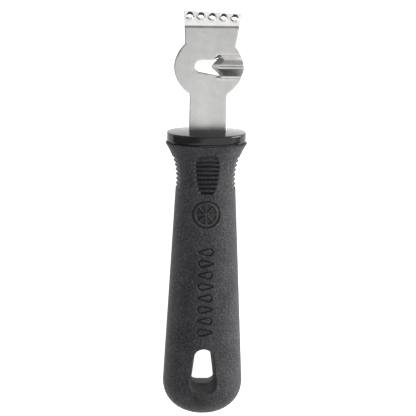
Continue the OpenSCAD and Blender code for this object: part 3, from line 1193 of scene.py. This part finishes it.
@dataclass
class HangHole:
    """The keyhole through the handle's wide end, drafted from its middle to both faces."""

    lower: float = 11.3
    length: float = 15.8
    top_w: float = 6.0
    low_w: float = 8.6
    corner_r: float = 2.6
    flare: float = 0.8
    ridge: float = 0.1
    mouth: tuple = ((0.55, -0.2), (0.3, 0.02), (0.15, 0.12), (0.05, 0.3), (0.0, 0.55))
    levels: tuple = (6.0, 3.0, 0.35)
    arc_points: int = 24

    def outline(self, end_y: float, grow: float) -> np.ndarray:
        """Draws the keyhole's outline, anticlockwise from its right side.

        Args:
            end_y: Y of the handle's end.
            grow: How much larger the outline is all round.

        Returns:
            The outline's points.
        """
        top = np.array([0.0, end_y + self.lower + self.length - self.top_w / 2])
        corner = np.array([self.low_w / 2 - self.corner_r, end_y + self.lower + self.corner_r])
        run = corner - top
        tangent = math.acos((self.top_w / 2 - self.corner_r) / np.linalg.norm(run))
        lean = math.degrees(tangent + math.atan2(run[1], run[0]))
        points = []
        for centre, radius, start, end in ((top, self.top_w / 2, lean, 180 - lean),
                                           (corner * [-1, 1], self.corner_r, 180 - lean, 270),
                                           (corner, self.corner_r, 270, 360 + lean)):
            turn = np.radians(np.linspace(start, end, self.arc_points))
            points.append(centre + (radius + grow) * np.column_stack([np.cos(turn), np.sin(turn)]))
        return np.vstack(points)


@dataclass
class Grip:
    """The soft skin: a waisted handle with rib pads, a round badge, a column of pips and a hang hole."""

    layout: Layout
    hole: HangHole = field(default_factory=HangHole)
    length: float = 107.8
    lip_w: float = 31.6
    lip_d: float = 20.86
    flare_l: float = 16.0
    flare_power: float = 2.2
    waist_y: float = 17.3
    waist_w: float = 23.0
    waist_d: float = 17.0
    belly_w: float = 30.8
    belly_d: float = 20.0
    end_l: float = 13.4
    end_power: float = 2.2
    end_depth_power: float = 2.7
    skin: float = 2.4
    lining: float = 1.6
    lip_round: float = 0.5
    rib_top: float = 3.4
    rib_low: float = 19.0
    rib_pitch: float = 1.74
    rib_depth: float = 0.9
    # Painted shade: how far the rib grooves are darkened towards the mark colour.
    rib_groove_shade: float = 0.9
    rib_arch: float = 0.035
    tooth_depth: float = 0.62
    tooth_pitch: float = 1.8
    pad_half: float = 4.9
    pad_edge: float = 1.1
    badge_s: float = 26.5
    badge_r: float = 5.1
    line_w: float = 0.62
    mark_depth: float = 0.4
    pip_first: float = 41.2
    pip_pitch: float = 4.55
    pip_count: int = 8
    pip_r: float = 1.35
    pip_l: float = 4.3
    pip_back: float = 1.3
    front_columns: int = 230
    back_columns: int = 110
    core_gap: float = 0.04
    sharp: float = 55.0
    finish: SoftGrip = field(default_factory=SoftGrip)

    @property
    def belly_s(self) -> float:
        """Distance below the lip at which the rounded end starts."""
        return self.length - self.end_l

    def size_at(self, s: np.ndarray, waist: float, belly: float, lip: float, power: float,
                inset: float) -> np.ndarray:
        """Gives the grip's width or depth at distances below its lip.

        Args:
            s: Distances below the lip.
            waist: Size at the waist.
            belly: Greatest size near the end.
            lip: Size over the lip.
            power: How square the rounded end is.
            inset: How far inside the skin's face.

        Returns:
            The sizes.
        """
        rate = (belly - waist) / (self.belly_s - self.waist_y)
        taper = waist + rate * (np.minimum(s, self.belly_s) - self.waist_y)
        top = waist - rate * self.waist_y
        flare = (lip - top) * np.maximum(0, 1 - s / self.flare_l) ** self.flare_power
        past = np.clip((s - self.belly_s) / (self.end_l - inset), 0, 0.99999)
        return (taper + flare - 2 * inset) * (1 - past ** power) ** (1 / power)

    def width_at(self, s: np.ndarray, inset: float = 0.0) -> np.ndarray:
        """Gives the grip's width at distances below its lip."""
        return self.size_at(s, self.waist_w, self.belly_w, self.lip_w, self.end_power, inset)

    def depth_at(self, s: np.ndarray, inset: float = 0.0) -> np.ndarray:
        """Gives the grip's depth at distances below its lip."""
        return self.size_at(s, self.waist_d, self.belly_d, self.lip_d, self.end_depth_power, inset)

    def stations(self) -> tuple[np.ndarray, np.ndarray]:
        """Lists the distances below the lip at which the skin is sectioned, and each one's inset.

        Returns:
            The distances and the insets.
        """
        turns = np.radians(np.linspace(90, 0, 6))
        badge_low = self.badge_s + self.badge_r + 0.8
        pips_low = self.pip_first + self.pip_count * self.pip_pitch
        stretches = ((0.8, 2.8, 0.4), (2.8, self.rib_low + 1.5, 0.2), (self.rib_low + 1.5, badge_low, 0.24),
                     (badge_low, self.pip_first - 3, 0.9), (self.pip_first - 3, pips_low, 0.26),
                     (pips_low, self.belly_s, 0.8))
        body = [np.arange(*stretch) for stretch in stretches]
        end = self.belly_s + (self.end_l - 0.02) * np.sin(np.radians(np.linspace(0, 90, 34)))
        s = np.concatenate([self.lip_round * (1 - np.sin(turns)), *body, end])
        inset = np.zeros(len(s))
        inset[:len(turns)] = self.lip_round * (1 - np.cos(turns))
        return s, inset

    def columns(self) -> np.ndarray:
        """Lists the angles of a ring's points, closer together on the front.

        Returns:
            The angles, in radians.
        """
        front = np.linspace(0, math.pi, self.front_columns, endpoint=False)
        back = np.linspace(math.pi, 2 * math.pi, self.back_columns, endpoint=False)
        return np.concatenate([front, back])

    def rib_relief(self, x: np.ndarray, z: np.ndarray, s: np.ndarray) -> np.ndarray:
        """Gives the depth of the rib pads' grooves.

        Args:
            x: Places across the handle.
            z: Places out of its face.
            s: Distances below the lip.

        Returns:
            The depths.
        """
        middle, half = (self.rib_top + self.rib_low) / 2, (self.rib_low - self.rib_top) / 2 + 0.4
        along = np.clip((s - middle) / half, -1, 1)
        arch = self.rib_arch * x ** 2 * np.clip((middle - s) / half, 0, 1)
        wave = 0.5 - 0.5 * np.cos(2 * math.pi * (s - self.rib_top - arch) / self.rib_pitch)
        reach = self.pad_half * (1 - np.abs(along) ** 3) ** (1 / 3) * (1 - 0.16 * along)
        pad = smoothstep(0.0, self.pad_edge, reach - np.abs(x)) * (np.abs(z) > 2)
        pad = pad * (1 - 0.45 * smoothstep(-0.35, -1.0, along))
        tooth_along = smoothstep(self.rib_top + 1.0, self.rib_top + 2.2, s)
        tooth_along = tooth_along * (1 - smoothstep(self.rib_low - 2.2, self.rib_low - 1.2, s))
        side = tooth_along * (1 - smoothstep(3.2, 5.0, np.abs(z))) * (np.abs(x) > 8)
        tooth = (0.5 - 0.5 * np.cos(2 * math.pi * (s - self.rib_top) / self.tooth_pitch)) ** 0.7
        return self.rib_depth * wave * pad + self.tooth_depth * tooth * side

    def badge_mark(self, x: np.ndarray, s: np.ndarray) -> np.ndarray:
        """Gives 1 in the badge's ring and in the eight segments of a plain citrus wheel.

        Args:
            x: Distance across the grip.
            s: Distance below its lip.

        Returns:
            One value to a place.
        """
        away = np.hypot(x, s - self.badge_s)
        ring = 1 - smoothstep(self.line_w / 2 - 0.1, self.line_w / 2 + 0.12, np.abs(away - self.badge_r))
        turn = np.arctan2(s - self.badge_s, x)
        sector = (turn / (math.pi / 4)) % 1.0 - 0.5
        edge = away * np.sin((0.5 - np.abs(sector)) * math.pi / 4)
        wedge = smoothstep(0.22, 0.42, edge) * smoothstep(0.7, 0.95, away)
        wedge = wedge * (1 - smoothstep(self.badge_r - 1.35, self.badge_r - 1.1, away))
        return np.maximum(ring, wedge)

    def pip_mark(self, x: np.ndarray, s: np.ndarray) -> np.ndarray:
        """Gives 1 on the outlines of the column of pips, which point left and right in turn.

        Args:
            x: Distance across the grip.
            s: Distance below its lip.

        Returns:
            One value to a place.
        """
        result = np.zeros_like(x)
        for i in range(self.pip_count):
            way = 1 if i % 2 else -1
            across, along = x * way, s - self.pip_first - i * self.pip_pitch
            t = np.clip((across + self.pip_back) / self.pip_l, 0, 1)
            radius = self.pip_r * (1 - t) ** 0.75
            gap = np.abs(np.hypot(across + self.pip_back - self.pip_l * t, along) - radius)
            result = np.maximum(result, 1 - smoothstep(0.16, 0.42, gap))
        return result

    def blank(self) -> bpy.types.Object:
        """Makes the skin's outside as a solid, with its ribs and marks and the painted shade of its rib
        grooves.

        Returns:
            The solid.
        """
        s, inset = self.stations()
        angles = self.columns()
        width, depth = self.width_at(s) - 2 * inset, self.depth_at(s) - 2 * inset
        points = oval(width, depth, angles, self.layout.lip_y - s)
        x, z = points[:, :, 0], points[:, :, 2]
        below = np.repeat(s[:, None], len(angles), 1)
        mark = np.where(z > 3, np.maximum(self.badge_mark(x, below), self.pip_mark(x, below)), 0.0)
        relief = self.rib_relief(x, z, below)
        # Painted shade in the rib grooves, stored in the mark value together with the real marks.
        groove_shade = self.rib_groove_shade * np.clip(relief / self.rib_depth, 0, 1)
        sunk = relief + self.mark_depth * mark
        steepness = self.waist_w / self.waist_d
        normal = np.stack([np.sign(x) * np.abs(x / self.waist_w) ** 1.2, np.zeros_like(x),
                           np.sign(z) * np.abs(z / self.waist_d) ** 1.2 * steepness], axis=2)
        normal /= np.maximum(np.linalg.norm(normal, axis=2, keepdims=True), 1e-9)
        place = self.layout.place((points - sunk[:, :, None] * normal).reshape(-1, 3))
        piece = make_object("grip_skin", place, loft_faces(len(s), len(angles)), self.sharp)
        point_values(piece, "mark", np.maximum(mark, groove_shade))
        return piece

    def surface_z(self, x: np.ndarray, y: np.ndarray) -> np.ndarray:
        """Gives the height of the handle's face over places on its middle plane.

        Args:
            x: Distance across the handle.
            y: Distance along the tool.

        Returns:
            One height to a place.
        """
        s = self.layout.lip_y - y
        share = np.clip(np.abs(x) / (self.width_at(s) / 2), 0, 0.999)
        return self.depth_at(s) / 2 * (1 - share ** OVAL_POWER) ** (1 / OVAL_POWER)

    def hole_cutter(self) -> bpy.types.Object:
        """Makes the solid that cuts the hang hole, with a ridge at its middle and soft lips.

        Returns:
            The cutter.
        """
        face, hole, end_y = self.belly_d / 2, self.hole, self.layout.end_y
        rings = [(hole.outline(end_y, hole.flare + hole.mouth[0][0]), face + 9.0)]
        for grow, below in hole.mouth:
            ring = hole.outline(end_y, hole.flare + grow)
            rings.append((ring, self.surface_z(ring[:, 0], ring[:, 1]) - below))
        rings += [(hole.outline(end_y, hole.flare * z / face), z) for z in hole.levels]
        upper = [np.column_stack([ring, np.broadcast_to(z, len(ring))]) for ring, z in rings]
        ridge = hole.outline(end_y, -hole.ridge)
        rows = upper + [np.column_stack([ridge, np.zeros(len(ridge))])]
        rows += [ring * [1, 1, -1] for ring in upper[::-1]]
        points = self.layout.place(np.vstack(rows))
        cutter = make_object("hole_cutter", points, loft_faces(len(rows), len(ridge)))
        point_values(cutter, "mark", np.ones(len(points)))
        return cutter

    def cavity_cutter(self) -> bpy.types.Object:
        """Makes the space that the core fills, with the hang hole's lining left standing in it.

        Returns:
            The cutter.
        """
        inset = self.skin - self.core_gap
        end = (self.end_l - inset - 0.01) * np.sin(np.radians(np.linspace(0, 90, 16)))
        s = np.concatenate([np.arange(0, self.belly_s, 2.0), self.belly_s + end])
        angles = np.linspace(0, 2 * math.pi, 96, endpoint=False)
        y = self.layout.lip_y - s
        y[0] += 0.5
        points = oval(self.width_at(s, inset), self.depth_at(s, inset), angles, y).reshape(-1, 3)
        cavity = make_object("cavity", self.layout.place(points), loft_faces(len(s), len(angles)))
        outline = self.hole.outline(self.layout.end_y, self.lining)
        rows = [np.column_stack([outline, np.full(len(outline), z)]) for z in (20.0, -20.0)]
        lining = make_object("lining", self.layout.place(np.vstack(rows)), loft_faces(2, len(outline)))
        cut_away(cavity, lining)
        return cavity

    def build(self) -> bpy.types.Object:
        """Makes the grip, dresses it and puts it in place of the plain one.

        Returns:
            The finished object.
        """
        piece = self.blank()
        cut_away(piece, self.cavity_cutter(), self.sharp)
        cut_away(piece, self.hole_cutter(), self.sharp)
        piece.data.materials.clear()
        piece.data.materials.append(self.finish.make("soft grip"))
        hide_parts("grip")
        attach(piece, ROOT)
        return piece


# ---- Studio --------------------------------------------------------------------------------------


@dataclass
class Studio:
    """A pale sweep, soft lights and the camera."""

    layout: Layout
    aim_y: float = -30.0
    azimuth: float = -2.5
    elevation: float = 13.5
    roll: float = 1.0148
    distance: float = 870.0
    view_angle: float = 10.5
    shift_x: float = 0.00676
    floor_half: float = 1.6

    def view_axis(self) -> Vector:
        """Gives the direction from the aim to the camera."""
        az, el = math.radians(self.azimuth), math.radians(self.elevation)
        return Vector((math.sin(az) * math.cos(el), math.sin(el), math.cos(az) * math.cos(el)))

    def aim(self) -> Vector:
        """Gives the point that the camera is set up on, in metres."""
        return Vector(self.layout.place(np.array([[0.0, self.aim_y, 0.0]]))[0])

    def camera(self) -> None:
        """Makes the camera."""
        back = self.view_axis()
        right = Vector((0, 1, 0)).cross(back).normalized()
        up = back.cross(right)
        roll = math.radians(self.roll)
        turned = right * math.cos(roll) + up * math.sin(roll)
        raised = up * math.cos(roll) - right * math.sin(roll)
        data = bpy.data.cameras.new("camera")
        data.angle = math.radians(self.view_angle)
        data.shift_x = self.shift_x
        data.clip_start, data.clip_end = 0.02, 20.0
        camera = bpy.data.objects.new("camera", data)
        bpy.context.scene.collection.objects.link(camera)
        place = self.aim() + back * self.distance * MM
        camera.matrix_world = Matrix.Translation(place) @ Matrix(
            (turned, raised, back)).transposed().to_4x4()
        bpy.context.scene.camera = camera

    def light(self, name: str, place: tuple, size: tuple, power: float, colour: tuple = (1, 1, 1)) -> None:
        """Adds a soft rectangular light that faces the tool.

        Args:
            name: Name of the light.
            place: Where it is, in metres from the tool's middle.
            size: Its two sides, in metres.
            power: Its power in watts.
            colour: Its colour.
        """
        data = bpy.data.lights.new(name, "AREA")
        data.shape = "RECTANGLE"
        data.size, data.size_y = size
        data.energy = power
        data.color = colour
        lamp = bpy.data.objects.new(name, data)
        bpy.context.scene.collection.objects.link(lamp)
        lamp.location = Vector(place)
        lamp.rotation_euler = Vector(place).to_track_quat("Z", "Y").to_euler()

    def lights(self) -> None:
        """Adds the lights and the pale surround."""
        self.light("front_soft", (0.35, -0.68, 1.35), (3.0, 1.3), 13.4)
        self.light("key_right", (1.25, 0.2, 0.35), (0.8, 1.1), 27.0)
        self.light("tip_soft", (0.0, 1.2, 0.45), (1.2, 0.6), 3.0)
        self.light("fill_left", (-1.1, 0.1, 0.6), (0.5, 0.9), 1.2, (0.78, 0.84, 1.0))
        world = bpy.data.worlds.new("surround")
        world.use_nodes = True
        background = world.node_tree.nodes["Background"]
        background.inputs["Color"].default_value = (1, 1, 1, 1)
        background.inputs["Strength"].default_value = 0.25
        bpy.context.scene.world = world
        bpy.context.scene.view_settings.view_transform = "Standard"

    def floor(self) -> bpy.types.Object:
        """Makes the pale floor, lit faintly from below like a light table.

        Returns:
            The floor.
        """
        cells = 8
        line = np.linspace(-self.floor_half, self.floor_half, cells + 1)
        points = np.array([(x, y, 0.0) for y in line for x in line])
        row = cells + 1
        faces = [[j * row + i, j * row + i + 1, (j + 1) * row + i + 1, (j + 1) * row + i]
                 for j in range(cells) for i in range(cells)]
        floor = make_object("floor", points, faces)
        n = Nodes("pale floor")
        tone = n.noise(n.coordinates((3.0, 3.0, 3.0)), 1.0, 2.0)
        colour = n.blend(tone, (0.90, 0.90, 0.90), (0.93, 0.93, 0.93))
        n.put(Base_Color=colour, Roughness=0.8)
        n.put(Emission_Color=(1.0, 1.0, 1.0), Emission_Strength=1.0)
        floor.data.materials.append(n.material)
        return floor

    def build(self) -> None:
        """Sets the camera, the floor and the lights."""
        self.camera()
        self.floor()
        self.lights()


def main() -> None:
    """Builds the zester piece by piece and reports each one."""
    logging.basicConfig(level=logging.INFO, format="%(name)s: %(message)s")
    layout = Layout.from_frame(Collar.crown_h)
    Studio(layout).build()
    pieces = [Blade(layout).build(), Collar(layout).build(), Grip(layout).build()]
    core = Core().dress()
    for piece in pieces + [core]:
        log.info("%s: %d faces, %s", piece.name, len(piece.data.polygons), piece.data.materials[0].name)


if __name__ == "__main__":
    main()
